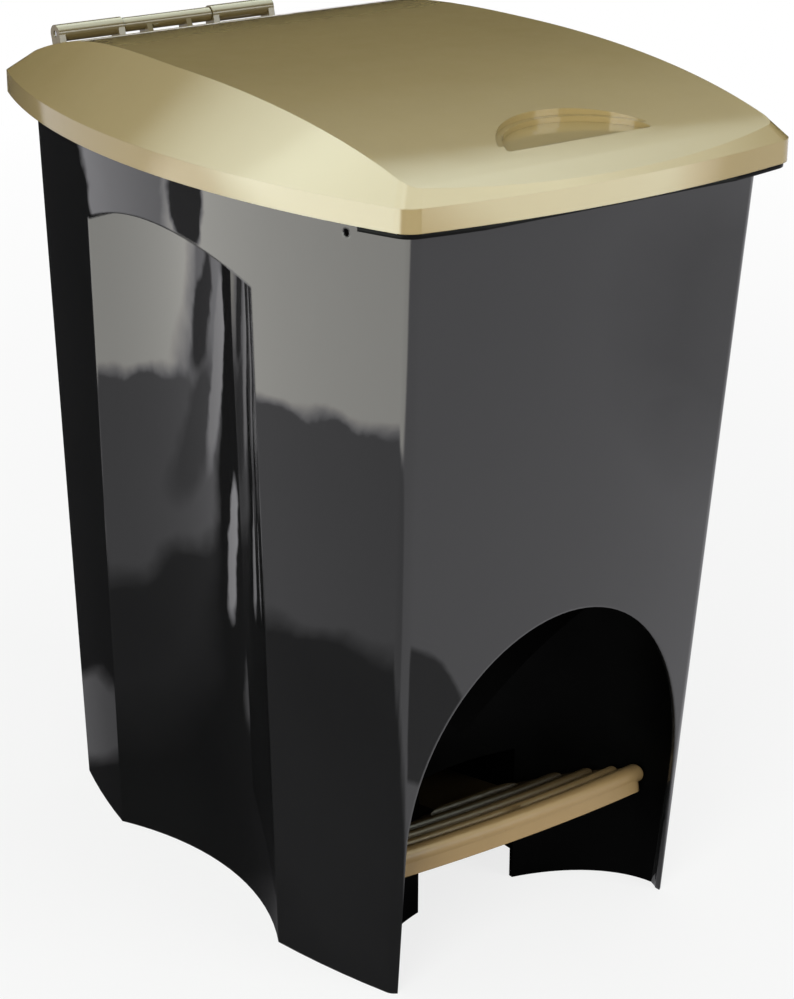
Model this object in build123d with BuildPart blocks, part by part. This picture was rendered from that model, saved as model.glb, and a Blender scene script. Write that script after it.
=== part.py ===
from build123d import *
from math import asin, atan2, cos, degrees, hypot, radians, sin, sqrt
import os

# A rectangular step-on waste bin. The front faces -Y, the hinge is at the back, and it stands on z = 0.
# All sizes are in millimetres.

# Body shell, outside
seat_height = 365          # lower edge of the closed lid's skirt
rim_above_seat = 6         # the body's rim stands this far up inside the lid
body_width_top = 184       # between the corners, at seat height
body_width_floor = 162
body_depth_top = 304
body_depth_floor = 275
back_lean = 2              # the back wall's foot lies this far in front of its top
side_bow_top = 26          # how far each side wall swells beyond its corners
side_bow_floor = 22
front_bow_top = 7
front_bow_floor = 6
body_corner = 6
body_wall = 2.2

# Hollow grip on each side, a round scoop under an arched ledge
scoop_radius_floor = 152
scoop_radius_top = 145
scoop_depth_floor = 24     # from the side's widest line in to the deepest line of the scoop
scoop_depth_top = 23
scoop_from_back_floor = 136
scoop_from_back_top = 149
scoop_overdraw = 1.2       # the cones run past the floor and the ledge by this factor
ledge_below_seat = 29
ledge_radius = 177

# Lip along the top of the front, just under the lid
front_lip_gap = 0.2
front_lip_height = 2.2
front_lip_inset = 1.2      # behind the face of the lid's skirt
front_lip_depth = 14       # front to back

# Foot opening in the front and the hood behind it
arch_half_width = 78.6
arch_straight = 72         # height of the straight jambs
arch_height = 175
hood_beyond_arch = 2.9
hood_depth = 55
hood_above_arch = 10
hood_roof_radius = 100
hood_roof_ahead = 45       # the roof's arc is centred this far ahead of the front wall's foot
lever_gap_half_width = 28.6
lever_gap_height = 70

# Floor inside the body and what hangs under it
floor_height = 76          # underside of the floor
cheek_foot = 15            # lower edge of the two plates that carry the pedal axle
cheek_behind_axle = 16
under_rib_depth = 12
under_rib_thickness = 1.8
under_rib_pitch = 62

# Back wall details
notch_half_width = 16
notch_height = 60
notch_depth = 6.6
channel_half_width = 7
channel_rib = 2
channel_depth = 16
channel_foot = 66
channel_below_bracket = 4
vent_radius = 1.5
vent_below_seat = 8
vent_from_front = 32

# Lid
lid_overhang_side = 10
lid_overhang_front = 9.5
lid_overhang_back = 10
lid_side_bow = 30.5
lid_front_bow = 10
lid_corner = 11
lid_skirt = 10
lid_wall = 2.2
crown_rise = 25
crown_apex_from_back = 147
crown_front_inset = 6
crown_front_rise = 6.7
crown_front_slope = 17
crown_back_inset = 7.6
crown_back_rise = 5.5
crown_back_slope = 27
crown_end_pull = 45        # handle lengths of the curves that draw the crown from the side
crown_apex_pull = 60
crown_side_inset = 20      # how far the sloping sides are drawn in at the corners, at the crown's full height
crown_side_bow = 15
crown_corner = 6
crown_overdraw = 1.4       # the sloping sides run on past the crown's height by this factor

# Bare recess in the lid
recess_half_width = 42
recess_depth_front_to_back = 33
recess_behind_lid_front = 16
recess_corner = 4
recess_step = 2.6
recess_below_top = 16.7    # the floor's front edge below the crown's top
recess_slope = 5           # the floor rises toward the back
recess_step_height = 2.4

# Ribs under the lid's front edge
lid_rib_spread = 80
lid_rib_thickness = 1.8
lid_rib_reach = 24
lid_rib_clearance = 0.3

# Hinge
hinge_behind_body = 30
hinge_above_seat = 18.5
hinge_pin_radius = 1.5
pin_clearance = 0.05
lid_knuckle_radius = 4.3
bracket_knuckle_radius = 3.6
hinge_half_length = 63
hinge_pin_inset = 0.5
bracket_knuckle_half = 25.6
knuckle_gap = 0.4
hinge_rib_thickness = 3.5
hinge_rib_margin = 1       # between the ribs and the skirt's lower and upper edges
hinge_rib_throat = 6.5     # from the hinge's axis forward to the ribs' upper corner

# Push rod and the pins at its two ends
lug_ahead_of_hinge = 16
lug_below_hinge = 12.3
rod_radius = 2
link_pin_radius = 1.5
eye_thickness = 3
eye_border = 2.6
eye_flat = 0.01            # what is left straight at the ends of the eyes
upper_eye_play = 0.6       # the pin's freedom up and down in the eye at each end of the rod
lower_eye_play = 0.15
eye_end_play = 0.4
lower_pin_height = 13
fork_gap = 0.9             # between the eye and each side of a fork
fork_plate = 2.8
fork_radius = 4.3
fork_throat = 10
pin_head_radius = 2.6
pin_head_height = 1.2
pin_clip_radius = 3
pin_clip_thickness = 0.8
pin_end = 0.4              # how far a pin stands out beyond its clip

# Pedal
axle_ahead_of_back = 104
axle_height = 27
axle_radius = 3
hub_radius = 7
hub_side_gap = 0.6
tread_rise_angle = 11.5
tread_reach = 168          # from the axle to the middle of the tread's front edge
tread_beyond_arch = 3.4    # half the width of the tread's whole ellipse is this much more than the arch's
tread_depth = 58
tread_ellipse_ahead = 14   # the tread's rounded plan is part of an ellipse, centred ahead of its front edge
tread_front_bow = 5
tread_corner = 4
tread_top = 1              # above the plane that the tread is drawn in, which runs through the axle
tread_plate = 3
tread_skirt = 10
tread_wall = 2.4
tread_rib_pitch = 26
lip_radius = 4.5
lip_height = -1            # the lip's centre, above the plane that the tread is drawn in
lip_overhang = 0.5         # the lip stands this far out beyond the tread's front
ridge_radius = 2.4
ridge_first = 12
ridge_pitch = 9.2
ridge_count = 4
ridge_end_inset = 3
lip_end_inset = 1
lever_half_width = 20
lever_height = 10
lever_plate = 3
lever_rib_pitch = 34
tail_half_width = 8

# Bracket, screws and guides on the back
bracket_half_width = 26
bracket_foot_below_seat = 39
bracket_top_below_seat = 4
bracket_plate = 3.2
bracket_top_depth = 15
bracket_cheek_inner = 10
bracket_cheek_thickness = 3
bracket_guide_depth = 17
bracket_guide_above_foot = 6
bracket_guide_height = 12
screw_radius = 1.5
screw_head_radius = 3
screw_head_height = 1.8
screw_spread = 19
screw_above_foot = 7
screw_pitch = 15
screw_length = 9
boss_radius = 3.6
boss_depth = 6
guide_foot = 96
guide_height = 12
axle_clip_radius = 6
axle_clip_thickness = 1.6
axle_end = 1

# Inner bucket and its bail
bucket_clear_back = 13
bucket_clear_front = 10
bucket_clear_side_top = 5  # inside the line of the body's corners
bucket_clear_side_floor = 7
bucket_clear_hood = 9.8    # the bucket's front leans back to clear the hood by this at the foot
bucket_back_taper = 3
bucket_rim_below_seat = 9
bucket_wall = 1.8
bucket_corner_top = 24
bucket_corner_floor = 18
bucket_rim_width = 6
bucket_rim_lip = 5
foot_ring_height = 2
ear_radius = 6
ear_beyond_rim = 0.5
ear_below_rim = 8
bail_wire_radius = 1.75
bail_from_back = 24
bail_corner = 26
bail_above_rim = 5
bail_end_bend = 4
bail_end_length = 7
grip_radius = 5
grip_length = 84

# Places that follow from the sizes above
lid_front_reach = body_depth_top + lid_overhang_front + lid_front_bow
hinge_back_reach = hinge_behind_body + lid_knuckle_radius
back_y = (lid_front_reach - hinge_back_reach) / 2
front_y = back_y - body_depth_top
rim_height = seat_height + rim_above_seat
scoop_half_gap_floor = body_width_floor / 2 + side_bow_floor - scoop_depth_floor
scoop_half_gap_top = body_width_top / 2 + side_bow_top - scoop_depth_top
ledge_height = seat_height - ledge_below_seat
hood_half_width = arch_half_width + hood_beyond_arch
hood_height = arch_height + hood_above_arch
hood_back_y = back_y - back_lean - body_depth_floor + hood_depth + body_wall
tread_half_width = arch_half_width + tread_beyond_arch
bracket_foot = seat_height - bracket_foot_below_seat
bracket_top = seat_height - bracket_top_below_seat
bracket_guide_foot = bracket_foot + bracket_guide_above_foot
channel_top = bracket_foot - channel_below_bracket
screw_low = bracket_foot + screw_above_foot
screw_high = screw_low + screw_pitch
hinge_y = back_y + hinge_behind_body
hinge_z = seat_height + hinge_above_seat
lug_y = hinge_y - lug_ahead_of_hinge
lug_z = hinge_z - lug_below_hinge
lug_radius = hypot(lug_ahead_of_hinge, lug_below_hinge)
rod_y = (lug_y + hinge_y - lug_radius) / 2
axle_y = back_y - axle_ahead_of_back
lower_pin_radius = hypot(rod_y - axle_y, lower_pin_height - axle_height)
pedal_start_angle = degrees(asin((lower_pin_height - axle_height) / lower_pin_radius))
fork_half_gap = eye_thickness / 2 + fork_gap
lug_half_width = fork_half_gap + fork_plate
floor_top = floor_height + body_wall
skirt_top = seat_height + lid_skirt
crown_top = skirt_top + crown_rise
lid_front_y = front_y - lid_overhang_front
lid_back_y = back_y + lid_overhang_back
lid_half_width = body_width_top / 2 + lid_overhang_side
crown_apex_y = back_y - crown_apex_from_back
bucket_half_width_top = body_width_top / 2 - bucket_clear_side_top
bucket_half_width_floor = body_width_floor / 2 - bucket_clear_side_floor
bucket_rim_height = seat_height - bucket_rim_below_seat
bucket_back_y = back_y - bucket_clear_back
bucket_front_y = front_y + bucket_clear_front
bucket_front_setback = hood_back_y + bucket_clear_hood - bucket_front_y
bucket_middle_y = (bucket_back_y + bucket_front_y) / 2
ear_z = bucket_rim_height - ear_below_rim
ear_x = bucket_half_width_top + bucket_rim_width + ear_beyond_rim
bail_y = back_y - bail_from_back
bail_z = bucket_rim_height + bail_above_rim
hub_half_length = lever_gap_half_width - hub_side_gap
big = 400                  # longer than any piece, for cuts that go right through


def at_height(z, floor_value, seat_value):
    """A size that changes evenly from the floor to the seat."""
    return floor_value + (seat_value - floor_value) * z / seat_height


def body_front(z):
    """Y of the body's front corners at a height."""
    return at_height(z, back_y - back_lean - body_depth_floor, front_y)


def body_back(z):
    """Y of the body's back wall at a height."""
    return at_height(z, back_y - back_lean, back_y)


def bowed_plan(z, half_width, side_bow, y_front, front_bow, y_back, corner):
    """A level rectangle whose sides and front swell outward, with rounded corners."""
    y_side = (y_front + y_back) / 2
    with BuildSketch(Plane.XY.offset(z)) as plan:
        with BuildLine():
            ThreePointArc((-half_width, y_front), (0, y_front - front_bow), (half_width, y_front))
            ThreePointArc((half_width, y_front), (half_width + side_bow, y_side), (half_width, y_back))
            Line((half_width, y_back), (-half_width, y_back))
            ThreePointArc((-half_width, y_back), (-half_width - side_bow, y_side), (-half_width, y_front))
        make_face()
        fillet(plan.vertices(), corner)
    return plan.sketch


def body_plan(z, inset):
    """The body's outline at a height, moved inward by an inset."""
    return bowed_plan(
        z,
        at_height(z, body_width_floor, body_width_top) / 2 - inset,
        at_height(z, side_bow_floor, side_bow_top),
        body_front(z) + inset,
        at_height(z, front_bow_floor, front_bow_top),
        body_back(z) - inset,
        body_corner - inset,
    )


def body_block(low, high, inset):
    """A solid of the body's outline between two heights."""
    with BuildPart() as block:
        loft([body_plan(low, inset), body_plan(high, inset)], ruled=True)
    return block.part


def scoop_block(grow):
    """The two round scoops in the sides, each a leaning cone closed above by an arched ledge."""
    foot = Vector(scoop_half_gap_floor + scoop_radius_floor, back_y - scoop_from_back_floor, 0)
    head = Vector(scoop_half_gap_top + scoop_radius_top, back_y - scoop_from_back_top, ledge_height)
    middle = (foot + head) / 2
    length = scoop_overdraw * (head - foot).length
    narrowing = scoop_overdraw * (scoop_radius_floor - scoop_radius_top) / 2
    mean_radius = (scoop_radius_floor + scoop_radius_top) / 2 + grow
    with BuildPart() as block:
        with Locations(Plane(origin=middle, z_dir=head - foot)):
            Cone(mean_radius + narrowing, mean_radius - narrowing, length)
        with BuildSketch(Plane.YZ) as ledge:
            with Locations((back_y - scoop_from_back_top, ledge_height - ledge_radius)):
                Circle(ledge_radius + grow)
            with Locations((back_y - scoop_from_back_top, (ledge_height - ledge_radius) / 2)):
                Rectangle(2 * (ledge_radius + grow), ledge_height - ledge_radius)
        extrude(amount=big, mode=Mode.INTERSECT)
        mirror(about=Plane.YZ)
    return block.part


def hood_block(grow):
    """The space for the foot behind the front opening, rounded at the back under an arched roof."""
    with BuildPart() as block:
        with BuildSketch():
            with Locations((0, body_front(0))):
                Ellipse(hood_half_width + grow, hood_depth + grow)
        extrude(amount=hood_height + grow)
        with BuildSketch(Plane.YZ):
            with Locations((body_front(0) - hood_roof_ahead, hood_height - hood_roof_radius)):
                Circle(hood_roof_radius + grow)
            with Locations((body_front(0), 0)):
                Rectangle(big, 2 * (hood_height - hood_roof_radius))
        extrude(amount=big, both=True, mode=Mode.INTERSECT)
    return block.part


def lid_plan(inset, z=0):
    """The outline of the lid's skirt, moved inward by an inset."""
    half_width = lid_half_width - inset
    y_front = lid_front_y + inset
    y_back = lid_back_y - inset
    return bowed_plan(z, half_width, lid_side_bow, y_front, lid_front_bow, y_back, lid_corner - inset)


def tilted_plane(origin, angle):
    """A plane through a point, with its +Y toward the back and up by an angle."""
    return Plane(origin=origin, x_dir=(1, 0, 0), z_dir=(0, -sin(radians(angle)), cos(radians(angle))))


def x_rod(y, z, radius, half_length, middle_x=0):
    """A round bar along X."""
    with BuildPart() as bar:
        with BuildSketch(Plane.YZ.offset(middle_x)):
            with Locations((y, z)):
                Circle(radius)
        extrude(amount=half_length, both=True)
    return bar.part


def headed_pin(y, z, grip_half_length):
    """A link pin along X with a round head on its +X end."""
    with BuildPart() as pin:
        add(x_rod(y, z, link_pin_radius, grip_half_length + pin_clip_thickness + pin_end))
        add(x_rod(y, z, pin_head_radius, pin_head_height / 2, grip_half_length + pin_head_height / 2))
    return pin.part


def push_on_clip(y, z, inner, outer, thickness, face_x):
    """A flat round clip pushed on to a pin, lying against a face that looks along -X or +X."""
    side = 1 if face_x > 0 else -1
    with BuildPart() as clip:
        with BuildSketch(Plane.YZ.offset(face_x)):
            with Locations((y, z)):
                Circle(outer)
                Circle(inner, mode=Mode.SUBTRACT)
        extrude(amount=side * thickness)
    return clip.part


def eye_plate(y, z, slot_half_length, slot_half_height):
    """The flattened end of the rod, with a level slot for a pin."""
    with BuildPart() as eye:
        with BuildSketch(Plane.YZ):
            with Locations((y, z)):
                RectangleRounded(
                    2 * (slot_half_length + eye_border),
                    2 * (slot_half_height + eye_border),
                    slot_half_height + eye_border - eye_flat,
                )
                RectangleRounded(
                    2 * slot_half_length,
                    2 * slot_half_height,
                    slot_half_height - eye_flat,
                    mode=Mode.SUBTRACT,
                )
        extrude(amount=eye_thickness / 2, both=True)
    return eye.part


body_outside = body_block(0, rim_height, 0)
body_inside = body_block(0, rim_height, body_wall)
scoops = scoop_block(0)
scoop_walls = scoop_block(body_wall)
hood = hood_block(0)
hood_wall = hood_block(body_wall)

with BuildPart() as hollow:
    add(body_inside)
    add(scoop_walls, mode=Mode.SUBTRACT)

# The moulding inside the body's walls: hood, floor, plates for the pedal axle, ribs under the floor
with BuildPart() as foot_well:
    add(hood_wall)
    with BuildSketch(Plane.XY.offset(floor_height)):
        Rectangle(big, big)
    extrude(amount=body_wall)
    cheek_front = body_front(0) + hood_depth / 2
    cheek_back = axle_y + cheek_behind_axle
    with BuildSketch(Plane.XY.offset(cheek_foot)):
        for side in (-1, 1):
            with Locations((side * (lever_gap_half_width + body_wall / 2), (cheek_front + cheek_back) / 2)):
                Rectangle(body_wall, cheek_back - cheek_front)
    extrude(amount=floor_height - cheek_foot)
    with BuildSketch(Plane.XY.offset(floor_height - under_rib_depth)):
        for side in (-1, 1):
            for step in (0, 1, 2):
                rib_y = axle_y + (step - 1) * under_rib_pitch
                with Locations((side * (lever_gap_half_width + body_width_top / 2), rib_y)):
                    Rectangle(body_width_top, under_rib_thickness)
    extrude(amount=under_rib_depth)
    add(hood, mode=Mode.SUBTRACT)
    with BuildSketch(Plane.XY):
        Rectangle(2 * lever_gap_half_width, big)
    extrude(amount=lever_gap_height, mode=Mode.SUBTRACT)
    add(x_rod(axle_y, axle_height, axle_radius + pin_clearance, big), mode=Mode.SUBTRACT)
    add(hollow.part, mode=Mode.INTERSECT)

with BuildPart() as bosses:
    with BuildSketch(Plane.XZ.offset(-back_y)):
        for side in (-1, 1):
            for z in (screw_low, screw_high):
                with Locations((side * screw_spread, z)):
                    Circle(boss_radius)
    extrude(amount=boss_depth)
    add(hollow.part, mode=Mode.INTERSECT)

with BuildPart() as body_shell:
    add(body_outside)
    with BuildSketch(Plane.XY.offset(channel_foot)):
        for side in (-1, 1):
            with Locations((side * (channel_half_width + channel_rib / 2), back_y)):
                Rectangle(channel_rib, 2 * channel_depth)
    extrude(amount=channel_top - channel_foot)
    with BuildSketch(Plane.XY.offset(seat_height - front_lip_gap)):
        add(lid_plan(front_lip_inset))
        with Locations((0, front_y)):
            Rectangle(big, 2 * front_lip_depth, mode=Mode.INTERSECT)
    extrude(amount=-front_lip_height)
    add(scoops, mode=Mode.SUBTRACT)
    add(hollow.part, mode=Mode.SUBTRACT)
    add(bosses.part)
    arch_back = body_front(0) + body_wall + body_corner / 2
    with BuildSketch(Plane.XZ.offset(-arch_back)):
        with Locations((0, arch_straight / 2)):
            Rectangle(2 * arch_half_width, arch_straight)
        with Locations((0, arch_straight)):
            Ellipse(arch_half_width, arch_height - arch_straight)
    extrude(amount=body_depth_top / 4, mode=Mode.SUBTRACT)
    with BuildSketch(Plane.XZ.offset(-back_y)) as notch:
        Rectangle(2 * notch_half_width, 2 * notch_height)
        fillet(notch.vertices(), body_corner)
    extrude(amount=notch_depth, both=True, mode=Mode.SUBTRACT)
    add(x_rod(front_y + vent_from_front, seat_height - vent_below_seat, vent_radius, big), mode=Mode.SUBTRACT)
    with BuildSketch(Plane.XZ.offset(-back_y)):
        for side in (-1, 1):
            for z in (screw_low, screw_high):
                with Locations((side * screw_spread, z)):
                    Circle(screw_radius + pin_clearance)
    extrude(amount=boss_depth, mode=Mode.SUBTRACT)


def lid_block(inset):
    """The lid as a filled solid: a low skirt under a crown that is arched from front to back."""
    base = skirt_top - inset
    drawn_rise = crown_overdraw * crown_rise
    high_plan = bowed_plan(
        base + drawn_rise,
        lid_half_width - inset - crown_side_inset * crown_overdraw,
        lid_side_bow - (lid_side_bow - crown_side_bow) * crown_overdraw,
        lid_front_y + inset + drawn_rise * crown_front_inset / crown_front_rise,
        lid_front_bow,
        lid_back_y - inset - drawn_rise * crown_back_inset / crown_back_rise,
        lid_corner - (lid_corner - crown_corner) * crown_overdraw,
    )
    apex = Vector(crown_apex_y, base + crown_rise)
    front_end = Vector(lid_front_y + crown_front_inset, base + crown_front_rise)
    back_end = Vector(lid_back_y - crown_back_inset, base + crown_back_rise)
    front_way = Vector(cos(radians(crown_front_slope)), sin(radians(crown_front_slope)))
    back_way = Vector(-cos(radians(crown_back_slope)), sin(radians(crown_back_slope)))
    front_tip = front_end - front_way * crown_end_pull
    back_tip = back_end - back_way * crown_end_pull
    with BuildPart() as crown:
        loft([lid_plan(inset, base), high_plan], ruled=True)
        with BuildSketch(Plane.YZ):
            with BuildLine():
                Line(front_tip, front_end)
                Bezier(front_end, front_end + front_way * crown_end_pull, apex - (crown_apex_pull, 0), apex)
                Bezier(apex, apex + (crown_apex_pull, 0), back_end + back_way * crown_end_pull, back_end)
                Line(back_end, back_tip)
                Polyline(back_tip, (back_tip.X, 0), (front_tip.X, 0), front_tip)
            make_face()
        extrude(amount=big, both=True, mode=Mode.INTERSECT)
    with BuildPart() as block:
        extrude(lid_plan(inset, seat_height), amount=base - seat_height)
        add(crown.part)
    return block.part


def recess_block(above_floor, grow):
    """The space over the recess's sloping floor: a half-round with a straight front edge."""
    front_edge = (0, lid_front_y + recess_behind_lid_front, crown_top - recess_below_top)
    floor_plane = tilted_plane(front_edge, recess_slope)
    with BuildPart() as block:
        with BuildSketch(floor_plane.offset(above_floor)) as plan:
            with BuildLine():
                Line((-recess_half_width, 0), (recess_half_width, 0))
                ThreePointArc(
                    (recess_half_width, 0), (0, recess_depth_front_to_back), (-recess_half_width, 0)
                )
            make_face()
            fillet(plan.vertices(), recess_corner)
            if grow:
                offset(amount=grow)
        extrude(amount=crown_rise)
    return block.part


with BuildPart() as lid_kept:
    add(recess_block(-lid_wall, lid_wall))
    with BuildSketch(Plane.XY.offset(rim_height + lid_rib_clearance)):
        for step in (-1, 0, 1):
            with Locations((step * lid_rib_spread, lid_front_y)):
                Rectangle(lid_rib_thickness, 2 * lid_rib_reach)
    extrude(amount=crown_rise)

with BuildPart() as lid_hollow:
    add(lid_block(lid_wall))
    add(lid_kept.part, mode=Mode.SUBTRACT)

with BuildPart() as lid:
    add(lid_block(0))
    add(lid_hollow.part, mode=Mode.SUBTRACT)
    add(recess_block(recess_step_height, 0), mode=Mode.SUBTRACT)
    add(recess_block(0, -recess_step), mode=Mode.SUBTRACT)
    knuckle_middle = (hinge_half_length + bracket_knuckle_half + knuckle_gap) / 2
    knuckle_half = (hinge_half_length - bracket_knuckle_half - knuckle_gap) / 2
    for side in (-1, 1):
        add(x_rod(hinge_y, hinge_z, lid_knuckle_radius, knuckle_half, side * knuckle_middle))
        for edge in (-1, 1):
            rib_x = side * knuckle_middle + edge * (knuckle_half - hinge_rib_thickness / 2)
            with BuildSketch(Plane.YZ.offset(rib_x)):
                with BuildLine():
                    Polyline(
                        (lid_back_y - lid_wall / 2, seat_height + hinge_rib_margin),
                        (hinge_y, seat_height + hinge_rib_margin),
                        (hinge_y + lid_knuckle_radius, hinge_z),
                        (hinge_y - lid_knuckle_radius, hinge_z),
                        (hinge_y - hinge_rib_throat, skirt_top - hinge_rib_margin),
                        (lid_back_y - lid_wall / 2, skirt_top - hinge_rib_margin),
                        close=True,
                    )
                make_face()
            extrude(amount=hinge_rib_thickness / 2, both=True)
    with BuildSketch(Plane.YZ):
        with Locations((lug_y, lug_z)):
            Circle(fork_radius)
        with Locations(((lug_y + lid_back_y) / 2 - lid_wall, (seat_height + skirt_top) / 2)):
            Rectangle(lug_y - lid_back_y + 2 * lid_wall, lid_skirt)
    extrude(amount=lug_half_width, both=True)
    add(x_rod(lug_y, lug_z, fork_throat, fork_half_gap), mode=Mode.SUBTRACT)
    add(x_rod(lug_y, lug_z, link_pin_radius + pin_clearance, lug_half_width), mode=Mode.SUBTRACT)
    add(x_rod(hinge_y, hinge_z, hinge_pin_radius + pin_clearance, hinge_half_length), mode=Mode.SUBTRACT)

with BuildPart() as hinge_bracket:
    with BuildSketch(Plane.XZ.offset(-(back_y + bracket_plate))):
        with Locations((0, (bracket_foot + bracket_top) / 2)):
            Rectangle(2 * bracket_half_width, bracket_top - bracket_foot)
    extrude(amount=2 * bracket_plate)
    with BuildSketch(Plane.YZ):
        with BuildLine():
            Polyline(
                (back_y, bracket_foot),
                (back_y, bracket_top),
                (back_y + bracket_top_depth, bracket_top),
                (hinge_y - bracket_knuckle_radius, hinge_z),
                (hinge_y + bracket_knuckle_radius, hinge_z),
                (hinge_y + bracket_knuckle_radius / 2, bracket_top - bracket_plate),
                close=True,
            )
        make_face()
    cheek_half = bracket_cheek_inner + bracket_cheek_thickness
    extrude(amount=cheek_half, both=True)
    with BuildSketch(Plane.XY.offset(bracket_foot)):
        with Locations((0, hinge_y)):
            Rectangle(2 * bracket_cheek_inner, 2 * (hinge_behind_body - bracket_plate))
    extrude(amount=big, mode=Mode.SUBTRACT)
    with BuildSketch(Plane.XY.offset(bracket_guide_foot)):
        with Locations((0, back_y + bracket_guide_depth / 2)):
            Rectangle(2 * bracket_cheek_inner, bracket_guide_depth)
    extrude(amount=bracket_guide_height)
    add(x_rod(hinge_y, hinge_z, bracket_knuckle_radius, bracket_knuckle_half))
    add(x_rod(hinge_y, hinge_z, hinge_pin_radius + pin_clearance, big), mode=Mode.SUBTRACT)
    with BuildSketch(Plane.XY.offset(bracket_foot)):
        with Locations((0, rod_y)):
            Circle(rod_radius + pin_clearance)
    extrude(amount=big, mode=Mode.SUBTRACT)
    with BuildSketch(Plane.XZ.offset(-back_y)):
        for side in (-1, 1):
            for z in (screw_low, screw_high):
                with Locations((side * screw_spread, z)):
                    Circle(screw_radius + pin_clearance)
    extrude(amount=bracket_plate, both=True, mode=Mode.SUBTRACT)
    add(body_outside, mode=Mode.SUBTRACT)

bracket_screws = []
for x in (-screw_spread, screw_spread):
    for z in (screw_low, screw_high):
        with BuildPart() as bracket_screw:
            with BuildSketch(Plane.XZ.offset(-(back_y + bracket_plate))):
                with Locations((x, z)):
                    Circle(screw_head_radius)
            extrude(amount=-screw_head_height)
            chamfer(bracket_screw.edges().group_by(Axis.Y)[-1], screw_head_height / 2)
            with BuildSketch(Plane.XZ.offset(-(back_y + bracket_plate))):
                with Locations((x, z)):
                    Circle(screw_radius)
            extrude(amount=screw_length)
        bracket_screws.append(bracket_screw.part)

with BuildPart() as rod_guide:
    with BuildSketch(Plane.XY.offset(guide_foot)):
        with Locations((0, back_y)):
            Rectangle(2 * channel_half_width, 2 * channel_depth)
        with Locations((0, rod_y)):
            Circle(rod_radius + pin_clearance, mode=Mode.SUBTRACT)
    extrude(amount=guide_height)
    add(body_outside, mode=Mode.SUBTRACT)

with BuildPart() as push_rod:
    upper_slot_half_length = link_pin_radius + (lug_radius - lug_ahead_of_hinge) / 2 + eye_end_play
    upper_slot_half_height = link_pin_radius + upper_eye_play
    lower_slot_half_length = link_pin_radius + lower_pin_radius - (rod_y - axle_y) + eye_end_play
    lower_slot_half_height = link_pin_radius + lower_eye_play
    shaft_low = lower_pin_height + lower_slot_half_height + eye_border / 2
    shaft_high = lug_z - upper_slot_half_height - eye_border / 2
    with BuildSketch(Plane.XY.offset(shaft_low)):
        with Locations((0, rod_y)):
            Circle(rod_radius)
    extrude(amount=shaft_high - shaft_low)
    add(eye_plate(rod_y, lug_z, upper_slot_half_length, upper_slot_half_height))
    add(eye_plate(rod_y, lower_pin_height, lower_slot_half_length, lower_slot_half_height))

with BuildPart() as hinge_pin:
    add(x_rod(hinge_y, hinge_z, hinge_pin_radius, hinge_half_length - hinge_pin_inset))

with BuildPart() as lug_pin:
    add(headed_pin(lug_y, lug_z, lug_half_width))

with BuildPart() as lug_pin_clip:
    add(push_on_clip(lug_y, lug_z, link_pin_radius, pin_clip_radius, pin_clip_thickness, -lug_half_width))

with BuildPart() as lever_pin:
    add(headed_pin(rod_y, lower_pin_height, tail_half_width))

with BuildPart() as lever_pin_clip:
    clip_sizes = (link_pin_radius, pin_clip_radius, pin_clip_thickness)
    add(push_on_clip(rod_y, lower_pin_height, *clip_sizes, -tail_half_width))

with BuildPart() as pedal_axle:
    axle_half_length = lever_gap_half_width + body_wall + axle_clip_thickness + axle_end
    add(x_rod(axle_y, axle_height, axle_radius, axle_half_length))

axle_clips = []
for side in (-1, 1):
    with BuildPart() as axle_clip:
        face_x = side * (lever_gap_half_width + body_wall)
        add(push_on_clip(axle_y, axle_height, axle_radius, axle_clip_radius, axle_clip_thickness, face_x))
    axle_clips.append(axle_clip.part)


axle_place = (0, axle_y, axle_height)
tread_plane = tilted_plane(axle_place, -tread_rise_angle)
tail_plane = tilted_plane(axle_place, pedal_start_angle)
tread_ellipse_y = -tread_reach - tread_ellipse_ahead
tread_corner_ahead = (tread_ellipse_ahead + tread_front_bow) / tread_depth
tread_end_half_width = tread_half_width * sqrt(1 - tread_corner_ahead**2)
tread_front_radius = (tread_end_half_width**2 + tread_front_bow**2) / (2 * tread_front_bow)


def tread_plan(height, inset):
    """The tread's outline: a bowed front edge and a rounded back that follows the hood."""
    with BuildSketch(tread_plane.offset(height)) as plan:
        with Locations((0, tread_ellipse_y)):
            Ellipse(tread_half_width - inset, tread_depth - inset)
        with Locations((0, tread_front_radius - tread_reach)):
            Circle(tread_front_radius - inset, mode=Mode.INTERSECT)
        fillet(plan.vertices(), tread_corner)
    return plan.sketch


def tread_bead(distance, radius, height, inset):
    """A round bead along the tread, parallel to its front edge and centred at a height over its plane."""
    arc_radius = tread_front_radius - distance
    arc_middle_y = tread_front_radius - tread_reach
    reach = degrees(asin(tread_half_width / arc_radius))
    with BuildPart() as bead:
        with BuildLine(tread_plane.offset(height)) as path:
            CenterArc((0, arc_middle_y), arc_radius, 270 - reach, 2 * reach)
        with BuildSketch(Plane(origin=path.line @ 0, z_dir=path.line % 0)):
            Circle(radius)
        sweep()
        with BuildSketch(tread_plane.offset(height - 2 * radius)):
            with Locations((0, tread_ellipse_y)):
                Ellipse(tread_half_width - inset, tread_depth - inset)
        extrude(amount=4 * radius, mode=Mode.INTERSECT)
    return bead.part


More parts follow.
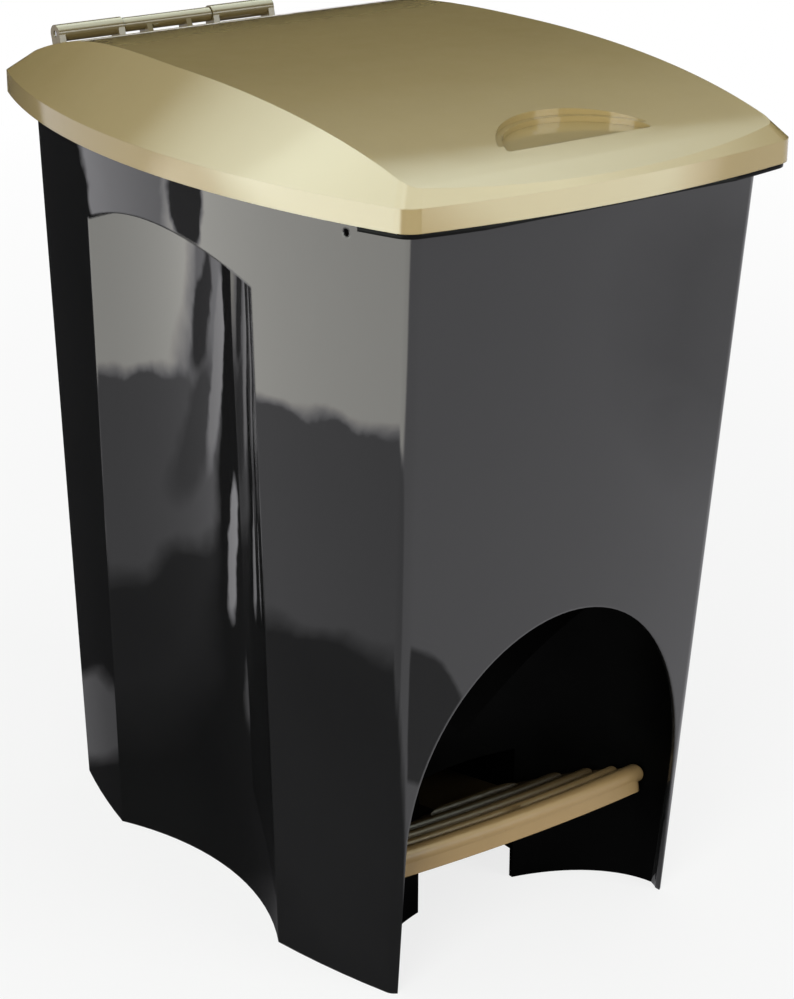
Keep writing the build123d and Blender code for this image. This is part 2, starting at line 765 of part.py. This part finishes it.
def arm_block(inset):
    """The two arms of the lever: forward to the tread, and back to the rod, where it is narrower."""
    with BuildPart() as block:
        with BuildSketch(tread_plane.offset(tread_top - lever_height)):
            with Locations((0, -tread_reach / 2 + inset / 2)):
                Rectangle(2 * (lever_half_width - inset), tread_reach - 2 * tread_wall - inset)
        extrude(amount=lever_height - inset)
        with BuildSketch(tail_plane.offset(-lever_height / 2)):
            with BuildLine():
                Polyline(
                    (-lever_half_width + inset, 0),
                    (lever_half_width - inset, 0),
                    (tail_half_width - inset, lower_pin_radius - fork_throat - inset),
                    (tail_half_width - inset, lower_pin_radius - inset * fork_throat),
                    (-tail_half_width + inset, lower_pin_radius - inset * fork_throat),
                    (-tail_half_width + inset, lower_pin_radius - fork_throat - inset),
                    close=True,
                )
            make_face()
        extrude(amount=lever_height - inset)
    return block.part


# What stays solid inside the pedal: the hub, and ribs under the tread and inside the lever
with BuildPart() as pedal_kept:
    add(x_rod(axle_y, axle_height, hub_radius, hub_half_length))
    with BuildSketch(tread_plane.offset(tread_top - lever_height)):
        for step in (-2, -1, 1, 2):
            with Locations((step * tread_rib_pitch, tread_ellipse_y)):
                Rectangle(tread_wall, 2 * tread_depth)
        for step in (1, 2):
            with Locations((0, -step * lever_rib_pitch)):
                Rectangle(2 * lever_half_width, tread_wall)
    extrude(amount=lever_height)
    with BuildSketch(tail_plane.offset(-lever_height / 2)):
        with Locations((0, lever_rib_pitch)):
            Rectangle(2 * lever_half_width, tread_wall)
        with Locations((0, 2 * lever_rib_pitch)):
            Rectangle(2 * lever_half_width, tread_wall)
    extrude(amount=lever_height)

with BuildPart() as pedal_hollow:
    extrude(tread_plan(tread_top - tread_skirt, tread_wall), amount=tread_skirt - tread_plate)
    add(arm_block(0), mode=Mode.SUBTRACT)
    add(arm_block(lever_plate))
    add(pedal_kept.part, mode=Mode.SUBTRACT)

with BuildPart() as pedal:
    extrude(tread_plan(tread_top - tread_skirt, 0), amount=tread_skirt)
    add(arm_block(0))
    add(x_rod(axle_y, axle_height, hub_radius, hub_half_length))
    add(x_rod(rod_y, lower_pin_height, lever_height / 2, tail_half_width))
    add(pedal_hollow.part, mode=Mode.SUBTRACT)
    add(tread_bead(lip_radius - lip_overhang, lip_radius, lip_height, lip_end_inset))
    for step in range(ridge_count):
        add(tread_bead(ridge_first + step * ridge_pitch, ridge_radius, tread_top, ridge_end_inset))
    add(x_rod(axle_y, axle_height, axle_radius + pin_clearance, hub_half_length), mode=Mode.SUBTRACT)
    add(x_rod(rod_y, lower_pin_height, link_pin_radius + pin_clearance, tail_half_width), mode=Mode.SUBTRACT)
    add(x_rod(rod_y, lower_pin_height, fork_throat, fork_half_gap), mode=Mode.SUBTRACT)


def bucket_plan(z, inset):
    """The bucket's outline at a height, moved inward by an inset."""
    share = (z - floor_top) / (bucket_rim_height - floor_top)
    half_width = bucket_half_width_floor + (bucket_half_width_top - bucket_half_width_floor) * share
    corner = bucket_corner_floor + (bucket_corner_top - bucket_corner_floor) * share
    plan_front = bucket_front_y + bucket_front_setback * (1 - share)
    plan_back = bucket_back_y - bucket_back_taper * (1 - share)
    with BuildSketch(Plane.XY.offset(z)) as plan:
        with Locations((0, (plan_front + plan_back) / 2)):
            RectangleRounded(2 * (half_width - inset), plan_back - plan_front - 2 * inset, corner - inset)
    return plan.sketch


with BuildPart() as bucket_inside:
    bucket_floor = floor_top + foot_ring_height
    low_inside = bucket_plan(bucket_floor + bucket_wall, bucket_wall)
    loft([low_inside, bucket_plan(bucket_rim_height, bucket_wall)], ruled=True)

with BuildPart() as inner_bucket:
    loft([bucket_plan(floor_top, 0), bucket_plan(bucket_rim_height, 0)], ruled=True)
    extrude(bucket_plan(bucket_rim_height, -bucket_rim_width), amount=-bucket_rim_lip)
    for side in (-1, 1):
        ear_length = ear_x - bucket_half_width_floor
        add(x_rod(bucket_middle_y, ear_z, ear_radius, ear_length / 2, side * (ear_x - ear_length / 2)))
    with BuildSketch(Plane.XY.offset(bucket_rim_height - bucket_wall)):
        add(bucket_plan(bucket_rim_height, bucket_wall - bucket_rim_width))
        add(bucket_plan(bucket_rim_height, 0), mode=Mode.SUBTRACT)
    extrude(amount=-bucket_rim_lip, mode=Mode.SUBTRACT)
    extrude(bucket_plan(floor_top, bucket_wall), amount=foot_ring_height, mode=Mode.SUBTRACT)
    add(bucket_inside.part, mode=Mode.SUBTRACT)
    add(x_rod(bucket_middle_y, ear_z, bail_wire_radius + pin_clearance, ear_x), mode=Mode.SUBTRACT)

with BuildPart() as bucket_bail:
    bail_arm = hypot(bail_y - bucket_middle_y, bail_z - ear_z)
    bail_x = ear_x + bail_end_bend
    bail_slope = degrees(atan2(bail_z - ear_z, bail_y - bucket_middle_y))
    bail_normal = (0, -sin(radians(bail_slope)), cos(radians(bail_slope)))
    with BuildLine(Plane(origin=(0, bucket_middle_y, ear_z), x_dir=(1, 0, 0), z_dir=bail_normal)) as path:
        FilletPolyline(
            (-ear_x + bail_end_length, 0),
            (-bail_x, 0),
            (-bail_x, bail_arm),
            (bail_x, bail_arm),
            (bail_x, 0),
            (ear_x - bail_end_length, 0),
            radius=(bail_end_bend, bail_corner, bail_corner, bail_end_bend),
        )
    with BuildSketch(Plane(origin=path.line @ 0, z_dir=path.line % 0)):
        Circle(bail_wire_radius)
    sweep()

with BuildPart() as bail_grip:
    with BuildSketch(Plane.YZ):
        with Locations((bail_y, bail_z)):
            Circle(grip_radius)
            Circle(bail_wire_radius + pin_clearance, mode=Mode.SUBTRACT)
    extrude(amount=grip_length / 2, both=True)
    grip_ends = bail_grip.edges().filter_by(GeomType.CIRCLE).group_by(SortBy.RADIUS)[-1]
    chamfer(grip_ends, grip_radius / 4)

pieces = {
    "body_shell": body_shell.part,
    "foot_well": foot_well.part,
    "lid": lid.part,
    "hinge_bracket": hinge_bracket.part,
    "hinge_pin": hinge_pin.part,
    "rod_guide": rod_guide.part,
    "push_rod": push_rod.part,
    "lug_pin": lug_pin.part,
    "lug_pin_clip": lug_pin_clip.part,
    "pedal": pedal.part,
    "lever_pin": lever_pin.part,
    "lever_pin_clip": lever_pin_clip.part,
    "pedal_axle": pedal_axle.part,
    "axle_clip_left": axle_clips[0],
    "axle_clip_right": axle_clips[1],
    "inner_bucket": inner_bucket.part,
    "bucket_bail": bucket_bail.part,
    "bail_grip": bail_grip.part,
}
for number, screw in enumerate(bracket_screws, start=1):
    pieces[f"bracket_screw_{number}"] = screw

os.makedirs("parts", exist_ok=True)
for name, piece in pieces.items():
    piece.label = name
    export_step(piece, f"parts/{name}.step")
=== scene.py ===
"""A step-on trash can, dressed for its picture: gloss black body, champagne lid and pedal."""
import math

import bpy
from mathutils import Matrix, Vector

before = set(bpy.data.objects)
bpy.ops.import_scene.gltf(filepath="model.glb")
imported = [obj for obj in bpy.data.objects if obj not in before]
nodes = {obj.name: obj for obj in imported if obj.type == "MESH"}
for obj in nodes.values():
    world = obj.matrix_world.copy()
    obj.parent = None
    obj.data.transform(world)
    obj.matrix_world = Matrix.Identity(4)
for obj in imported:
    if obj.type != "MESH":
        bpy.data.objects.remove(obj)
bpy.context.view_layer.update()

# The camera stands in front of the left front corner and looks down at it
CAMERA_PLACE = Vector((-0.670, -0.936, 0.630))
CAMERA_YAW = math.radians(36.3)
CAMERA_PITCH = math.radians(21.38)
CAMERA_ROLL = math.radians(0.17)
PHOTO_WIDTH = 794
FOCAL_PIXELS = 2567
SENSOR_WIDTH = 36.0

# Colours, each from its darkest to its lightest drift
BLACK = ((0.0045, 0.0045, 0.0047), (0.0065, 0.0065, 0.0067))
# The foot well's own black plastic, made far darker than the body's as painted shade for the deep well
WELL_BLACK_AND_PAINTED_SHADE = ((0.0002, 0.0002, 0.0002), (0.0004, 0.0004, 0.0004))
CHAMPAGNE = ((0.268, 0.198, 0.085), (0.292, 0.218, 0.096))
PEDAL_GOLD = ((0.310, 0.200, 0.085), (0.400, 0.262, 0.117))
BUCKET_GREY = ((0.10, 0.10, 0.105), (0.13, 0.13, 0.135))
STEEL = ((0.46, 0.46, 0.47), (0.58, 0.58, 0.59))

# Most of a noise lies between these two values
NOISE_LOW = 0.3
NOISE_HIGH = 0.7

# How fine the drift of colour, the rubs, the warp and the grain are, in waves per metre
DRIFT_WAVES = 9.0
RUB_WAVES = 55.0
WARP_WAVES = 14.0
GRAIN_WAVES = 1400.0

EDGE_SAMPLES = 6

# Painted shade, where colour darkens toward the back as the hinge bar and the pedal's rear lie in shadow:
# full at one Y, and down to this share of itself at another
LID_PAINTED_SHADE = (0.163, 0.169, 0.45)
PEDAL_PAINTED_SHADE = (-0.138, -0.098, 0.06)

# Painted shade: above this height the body hardly shines, so that its lip shows as the dark, shadowed gap
# under the lid's front
LIP_FOOT = 0.3622
LIP_FADE = 0.0002
BODY_SHINE = 0.5
LIP_SHINE = 0.02

# The floor as it shows: this share of plain white at the middle, and all white from this distance out
FLOOR_HALF = 5.0
FLOOR_COLOUR = (0.80, 0.80, 0.80, 1)
FLOOR_WHITE_SHARE = 0.78
FLOOR_FADE = 1.6

# What gloss sees on the floor, besides white: patches of light and shade round the can,
# each a place, a half-length along X and along Y, its brightness and how soft its edge is
PATCHES = [
    ((-1.10, 0.25), (0.62, 0.95), 3.4, 0.14),
    ((-1.75, 0.30), (0.65, 1.30), 10.0, 0.30),
    ((0.95, -1.75), (0.75, 0.85), 6.2, 0.30),
    ((-0.40, 0.10), (0.27, 0.46), 0.60, 0.10),
    ((-0.41, 0.47), (0.07, 0.22), 0.35, 0.40),
    ((-0.17, 0.05), (0.215, 0.38), 0.12, 0.15),
    ((0.05, 1.12), (0.42, 1.32), 0.02, 0.10),
    ((-0.34, 0.68), (0.050, 0.26), 1.30, 0.25),
    ((-0.180, 0.38), (0.028, 0.13), 1.10, 0.30),
    ((-0.77, 0.86), (0.07, 0.13), 0.15, 0.25),
    ((-0.49, 0.72), (0.07, 0.20), 0.20, 0.25),
    ((-0.09, 0.20), (0.05, 0.07), 0.20, 0.30),
    ((0.01, -0.33), (0.05, 0.07), 0.25, 0.15),
    ((0.75, -0.45), (0.35, 0.35), 0.75, 0.50),
]

# How far noise shifts the edges of the patches, and how fine that noise is
RAGGED = 0.10
RAGGED_WAVES = 7.0
RAGGED_DETAIL = 7.0

# The tint of the patches: how bright they are, as a share of the brightest, and the colour
BRIGHTEST_PATCH = 10.0
PATCH_TINTS = [
    (0.10, (0.97, 0.96, 1.0)),
    (0.30, (1.0, 0.967, 0.91)),
    (0.55, (0.92, 1.0, 0.90)),
]

# What gloss sees above the floor: the sine of the height, and how bright it is there
OVERHEAD = [(0.0, 0.0), (0.20, 0.01), (0.33, 0.07), (0.54, 0.42), (0.62, 3.0), (0.75, 7.0), (1.0, 7.0)]
OVERHEAD_COLOUR = (0.91, 1.0, 0.864, 1)

# Above the floor, what gloss sees to the left of this X of its direction is brighter by this share
PANEL_EDGE = -0.19
PANEL_FADE = 0.01
PANEL_GAIN = 0.22

# The surround's strength as a lamp, and the soft lamps: name, place, width and power
FILL_STRENGTH = 0.45
LAMPS = [
    ("key", (-2.1, -1.3, 0.9), 1.2, 48),
    ("fill", (1.0, -2.2, 0.8), 1.2, 28),
    ("top", (0.2, 0.6, 2.6), 1.8, 6),
]
LAMP_COLOUR = (0.96, 1.0, 0.95)
LAMP_TARGET = Vector((0, 0, 0.3))

WHITE = (1, 1, 1, 1)


def add_object(name, data):
    """Puts an object with this data in the scene."""
    made = bpy.data.objects.new(name, data)
    bpy.context.scene.collection.objects.link(made)
    return made


def aim_camera():
    """Stands the camera where the photograph was taken."""
    sin_yaw, cos_yaw = math.sin(CAMERA_YAW), math.cos(CAMERA_YAW)
    sin_pitch, cos_pitch = math.sin(CAMERA_PITCH), math.cos(CAMERA_PITCH)
    ahead = Vector((cos_pitch * sin_yaw, cos_pitch * cos_yaw, -sin_pitch))
    level = Vector((cos_yaw, -sin_yaw, 0))
    above = level.cross(ahead)
    right = math.cos(CAMERA_ROLL) * level + math.sin(CAMERA_ROLL) * above
    up = -math.sin(CAMERA_ROLL) * level + math.cos(CAMERA_ROLL) * above
    data = bpy.data.cameras.new("photo_camera")
    data.sensor_fit = "HORIZONTAL"
    data.sensor_width = SENSOR_WIDTH
    data.lens = FOCAL_PIXELS * SENSOR_WIDTH / PHOTO_WIDTH
    camera = add_object("photo_camera", data)
    turn = Matrix((right, up, -ahead)).transposed().to_4x4()
    camera.matrix_world = Matrix.Translation(CAMERA_PLACE) @ turn
    bpy.context.scene.camera = camera


def node(tree, kind, **inputs):
    """Adds a shader node and sets the inputs that are named."""
    made = tree.nodes.new(kind)
    for name, value in inputs.items():
        made.inputs[name.replace("_", " ")].default_value = value
    return made


def combine(tree, operation, first, second):
    """Arithmetic on two values, each a socket or a number."""
    made = tree.nodes.new("ShaderNodeMath")
    made.operation = operation
    for slot, value in zip(made.inputs, (first, second)):
        if isinstance(value, (int, float)):
            slot.default_value = value
        else:
            tree.links.new(value, slot)
    return made.outputs[0]


def noise(tree, scale, detail=2.0, roughness=0.5):
    """Noise in the piece's own metres; scale is in waves per metre."""
    place = tree.nodes.new("ShaderNodeTexCoord")
    made = node(tree, "ShaderNodeTexNoise", Scale=scale, Detail=detail, Roughness=roughness)
    tree.links.new(place.outputs["Object"], made.inputs["Vector"])
    return made.outputs["Fac"]


def ramp(tree, value, stops):
    """Turns a value into colours; stops are pairs of a place and a colour."""
    made = tree.nodes.new("ShaderNodeValToRGB")
    band = made.color_ramp
    while len(band.elements) < len(stops):
        band.elements.new(1.0)
    for element, (place, colour) in zip(band.elements, stops):
        element.position = place
        element.color = (*colour, 1.0)
    tree.links.new(value, made.inputs["Fac"])
    return made.outputs["Color"]


def spread(tree, value, low, high, from_low=NOISE_LOW, from_high=NOISE_HIGH):
    """Maps a value, by default a noise, onto the range low to high."""
    made = node(tree, "ShaderNodeMapRange", From_Min=from_low, From_Max=from_high, To_Min=low, To_Max=high)
    tree.links.new(value, made.inputs["Value"])
    return made.outputs["Result"]


def along(tree, axis):
    """The piece's own X, Y or Z, in metres."""
    place = tree.nodes.new("ShaderNodeTexCoord")
    split = tree.nodes.new("ShaderNodeSeparateXYZ")
    tree.links.new(place.outputs["Object"], split.inputs[0])
    return split.outputs[axis]


def rounded_edges(tree, radius):
    """A normal that rounds the edges of the mesh by a small radius."""
    made = node(tree, "ShaderNodeBevel", Radius=radius)
    made.samples = EDGE_SAMPLES
    return made.outputs["Normal"]


def bump(tree, height, depth, normal):
    """A bump from a height, as deep as is given in metres, laid over another normal."""
    made = node(tree, "ShaderNodeBump", Strength=1.0, Distance=depth)
    tree.links.new(height, made.inputs["Height"])
    tree.links.new(normal, made.inputs["Normal"])
    return made.outputs["Normal"]


def paint_shade(tree, colour, start, end, keep):
    """Painted shade: a colour that darkens toward the back, from full at one Y to a share of itself at
    another.
    """
    share = spread(tree, along(tree, "Y"), 1.0, keep, start, end)
    scaled = tree.nodes.new("ShaderNodeVectorMath")
    scaled.operation = "SCALE"
    tree.links.new(colour, scaled.inputs[0])
    tree.links.new(share, scaled.inputs["Scale"])
    return scaled.outputs["Vector"]


def surface(name, colours, roughness, warp, grain, edge=0.0006, shade=None, **constants):
    """A material whose colour drifts a little, with rubs in its gloss, a warp, a grain and soft edges.

    Warp, grain and edge are in metres. Constants are values for sockets of the shader.
    """
    made = bpy.data.materials.new(name)
    made.use_nodes = True
    tree = made.node_tree
    shader = tree.nodes["Principled BSDF"]
    darkest, lightest = colours
    drift = noise(tree, DRIFT_WAVES, detail=4.0)
    colour = ramp(tree, drift, [(NOISE_LOW, darkest), (NOISE_HIGH, lightest)])
    # Painted shade: where asked, the colour darkens toward the back
    if shade:
        colour = paint_shade(tree, colour, *shade)
    tree.links.new(colour, shader.inputs["Base Color"])
    rubs = noise(tree, RUB_WAVES, detail=6.0, roughness=0.65)
    tree.links.new(spread(tree, rubs, *roughness), shader.inputs["Roughness"])
    for socket, value in constants.items():
        shader.inputs[socket.replace("_", " ")].default_value = value
    normal = rounded_edges(tree, edge)
    normal = bump(tree, noise(tree, WARP_WAVES, detail=1.0), warp, normal)
    normal = bump(tree, noise(tree, GRAIN_WAVES), grain, normal)
    tree.links.new(normal, shader.inputs["Normal"])
    return made


def lip_painted_shade(material):
    """Painted shade: takes most of the shine off a material above the foot of the body's lip, so the lip
    shows as the shadowed gap under the lid.
    """
    tree = material.node_tree
    shine = spread(tree, along(tree, "Z"), BODY_SHINE, LIP_SHINE, LIP_FOOT - LIP_FADE, LIP_FOOT)
    tree.links.new(shine, tree.nodes["Principled BSDF"].inputs["Specular IOR Level"])


def dress(material, *names):
    """Gives CAD nodes their material."""
    for name in names:
        for slot in nodes[name].material_slots:
            slot.material = material


def dress_all():
    """Makes the materials and gives each CAD node its own."""
    gloss_black = surface(
        "gloss_black", BLACK, roughness=(0.006, 0.025), warp=0.00030, grain=0.0000003,
        edge=0.0015, IOR=1.6
    )
    lip_painted_shade(gloss_black)
    # Black plastic for the foot well, with its shine nearly taken away as painted shade for the deep well
    well_black_and_painted_shade = surface(
        "well_black_and_painted_shade", WELL_BLACK_AND_PAINTED_SHADE, roughness=(0.4, 0.6), warp=0.0002, grain=0.00001,
        Specular_IOR_Level=0.03
    )
    # The champagne darkens toward the hinge bar at the back, as painted shade
    champagne = surface(
        "champagne", CHAMPAGNE, roughness=(0.42, 0.50), warp=0.00015, grain=0.000004,
        edge=0.0010, shade=LID_PAINTED_SHADE, Coat_Weight=1.0, Coat_Roughness=0.075, Specular_IOR_Level=0.05
    )
    # The pedal darkens toward its rear, as painted shade for the dark well it sits in
    pedal_gold = surface(
        "pedal_gold", PEDAL_GOLD, roughness=(0.30, 0.42), warp=0.0002, grain=0.000008,
        shade=PEDAL_PAINTED_SHADE, Specular_IOR_Level=0.3
    )
    bucket_grey = surface(
        "bucket_grey", BUCKET_GREY, roughness=(0.30, 0.45), warp=0.0003, grain=0.00001
    )
    steel = surface(
        "steel", STEEL, roughness=(0.18, 0.34), warp=0.00005, grain=0.000004,
        edge=0.0002, Metallic=1.0
    )
    dress(gloss_black, "body_shell", "rod_guide")
    dress(well_black_and_painted_shade, "foot_well")
    dress(champagne, "lid", "hinge_bracket")
    dress(pedal_gold, "pedal")
    dress(bucket_grey, "inner_bucket", "bail_grip")
    dress(steel, "push_rod", "bucket_bail", "hinge_pin", "pedal_axle", "lug_pin", "lever_pin")
    dress(steel, "lug_pin_clip", "lever_pin_clip", "axle_clip_left", "axle_clip_right")
    dress(steel, "bracket_screw_1", "bracket_screw_2", "bracket_screw_3", "bracket_screw_4")


def light_path(tree, *rays):
    """1 for the kinds of ray that are named, otherwise 0."""
    path = tree.nodes.new("ShaderNodeLightPath")
    result = path.outputs[rays[0]]
    for ray in rays[1:]:
        result = combine(tree, "MAXIMUM", result, path.outputs[ray])
    return result


def mix_shaders(tree, share, first, second):
    """The first shader, or the second where the share is 1."""
    made = tree.nodes.new("ShaderNodeMixShader")
    tree.links.new(share, made.inputs[0])
    tree.links.new(first, made.inputs[1])
    tree.links.new(second, made.inputs[2])
    return made.outputs[0]


def by_ray(tree, lighting, shown, reflected):
    """Lights the scene with one shader, shows the camera another and gloss a third."""
    seen = mix_shaders(tree, light_path(tree, "Is Camera Ray", "Is Transmission Ray"), lighting, shown)
    return mix_shaders(tree, light_path(tree, "Is Glossy Ray"), seen, reflected)


def ragged_place(tree):
    """Places on the floor, shifted to and fro by noise, so that the patches' edges are uneven."""
    place = tree.nodes.new("ShaderNodeTexCoord")
    wander = node(tree, "ShaderNodeTexNoise", Scale=RAGGED_WAVES, Detail=RAGGED_DETAIL)
    shift = tree.nodes.new("ShaderNodeVectorMath")
    shift.operation = "MULTIPLY_ADD"
    shift.inputs[1].default_value = (RAGGED, RAGGED, 0)
    tree.links.new(place.outputs["Object"], wander.inputs["Vector"])
    tree.links.new(wander.outputs["Color"], shift.inputs[0])
    tree.links.new(place.outputs["Object"], shift.inputs[2])
    return shift.outputs["Vector"]


def patch(tree, place, centre, half_size, softness):
    """1 in the middle of an oval patch of the floor, falling to 0 at its edge.

    The noise shifts places by half of RAGGED on average, so the patch is moved by as much.
    """
    spot = tree.nodes.new("ShaderNodeMapping")
    spot.vector_type = "TEXTURE"
    spot.inputs["Location"].default_value = (centre[0] + RAGGED / 2, centre[1] + RAGGED / 2, 0)
    spot.inputs["Scale"].default_value = (*half_size, 1)
    fade = tree.nodes.new("ShaderNodeTexGradient")
    fade.gradient_type = "SPHERICAL"
    tree.links.new(place, spot.inputs["Vector"])
    tree.links.new(spot.outputs["Vector"], fade.inputs["Vector"])
    return spread(tree, fade.outputs["Fac"], 0.0, 1.0, 0.0, softness)


def toward(tree, value, level, share):
    """A value moved toward a level by a share."""
    gap = combine(tree, "SUBTRACT", level, value)
    return combine(tree, "ADD", value, combine(tree, "MULTIPLY", gap, share))


def patchy_light(tree, place):
    """The light and shade that gloss sees on the floor."""
    strength = 1.0
    for centre, half_size, level, softness in PATCHES:
        strength = toward(tree, strength, level, patch(tree, place, centre, half_size, softness))
    tint = ramp(tree, combine(tree, "DIVIDE", strength, BRIGHTEST_PATCH), PATCH_TINTS)
    made = tree.nodes.new("ShaderNodeEmission")
    tree.links.new(strength, made.inputs["Strength"])
    tree.links.new(tint, made.inputs["Color"])
    return made.outputs[0]


def lay_floor():
    """A large pale floor that shows white but keeps the can's shadow, with patches that only gloss sees."""
    half = FLOOR_HALF
    mesh = bpy.data.meshes.new("floor")
    corners = [(-half, -half, 0), (half, -half, 0), (half, half, 0), (-half, half, 0)]
    mesh.from_pydata(corners, [], [(0, 1, 2, 3)])
    floor = add_object("floor", mesh)
    made = bpy.data.materials.new("floor")
    made.use_nodes = True
    tree = made.node_tree
    tree.nodes.clear()
    matte = node(tree, "ShaderNodeBsdfDiffuse", Color=FLOOR_COLOUR).outputs[0]
    white = node(tree, "ShaderNodeEmission", Color=WHITE, Strength=1.0).outputs[0]
    place = ragged_place(tree)
    near = patch(tree, place, (0, 0), (FLOOR_FADE, FLOOR_FADE), 1.0)
    matte_share = combine(tree, "MULTIPLY", near, 1.0 - FLOOR_WHITE_SHARE)
    shown = mix_shaders(tree, combine(tree, "SUBTRACT", 1.0, matte_share), matte, white)
    out = tree.nodes.new("ShaderNodeOutputMaterial")
    tree.links.new(by_ray(tree, matte, shown, patchy_light(tree, place)), out.inputs["Surface"])
    mesh.materials.append(made)


def overhead_light(tree):
    """The light that gloss sees above the floor: dark low down, bright high up, brighter to the left."""
    way = tree.nodes.new("ShaderNodeTexCoord")
    split = tree.nodes.new("ShaderNodeSeparateXYZ")
    tree.links.new(way.outputs["Generated"], split.inputs[0])
    brightest = max(level for _, level in OVERHEAD)
    stops = [(height, (level / brightest,) * 3) for height, level in OVERHEAD]
    level = combine(tree, "MULTIPLY", ramp(tree, split.outputs["Z"], stops), brightest)
    fade = (PANEL_EDGE - PANEL_FADE, PANEL_EDGE + PANEL_FADE)
    panel = spread(tree, split.outputs["X"], 1.0 + PANEL_GAIN, 1.0, *fade)
    made = node(tree, "ShaderNodeBackground", Color=OVERHEAD_COLOUR)
    tree.links.new(combine(tree, "MULTIPLY", level, panel), made.inputs["Strength"])
    return made.outputs[0]


def light_world():
    """A white surround, dimmer as a lamp than it looks, that gloss sees as a diffuser overhead."""
    world = bpy.data.worlds.new("studio")
    bpy.context.scene.world = world
    world.use_nodes = True
    tree = world.node_tree
    tree.nodes.clear()
    dim = node(tree, "ShaderNodeBackground", Color=WHITE, Strength=FILL_STRENGTH).outputs[0]
    white = node(tree, "ShaderNodeBackground", Color=WHITE, Strength=1.0).outputs[0]
    out = tree.nodes.new("ShaderNodeOutputWorld")
    tree.links.new(by_ray(tree, dim, white, overhead_light(tree)), out.inputs["Surface"])


def softbox(name, place, size, power):
    """A square area lamp that faces the can."""
    data = bpy.data.lights.new(name, "AREA")
    data.shape = "SQUARE"
    data.size = size
    data.energy = power
    data.color = LAMP_COLOUR
    lamp = add_object(name, data)
    lamp.location = place
    facing = LAMP_TARGET - Vector(place)
    lamp.rotation_euler = facing.to_track_quat("-Z", "Y").to_euler()


dress_all()
aim_camera()
lay_floor()
light_world()
for name, place, size, power in LAMPS:
    softbox(name, place, size, power)
bpy.context.scene.view_settings.view_transform = "Standard"
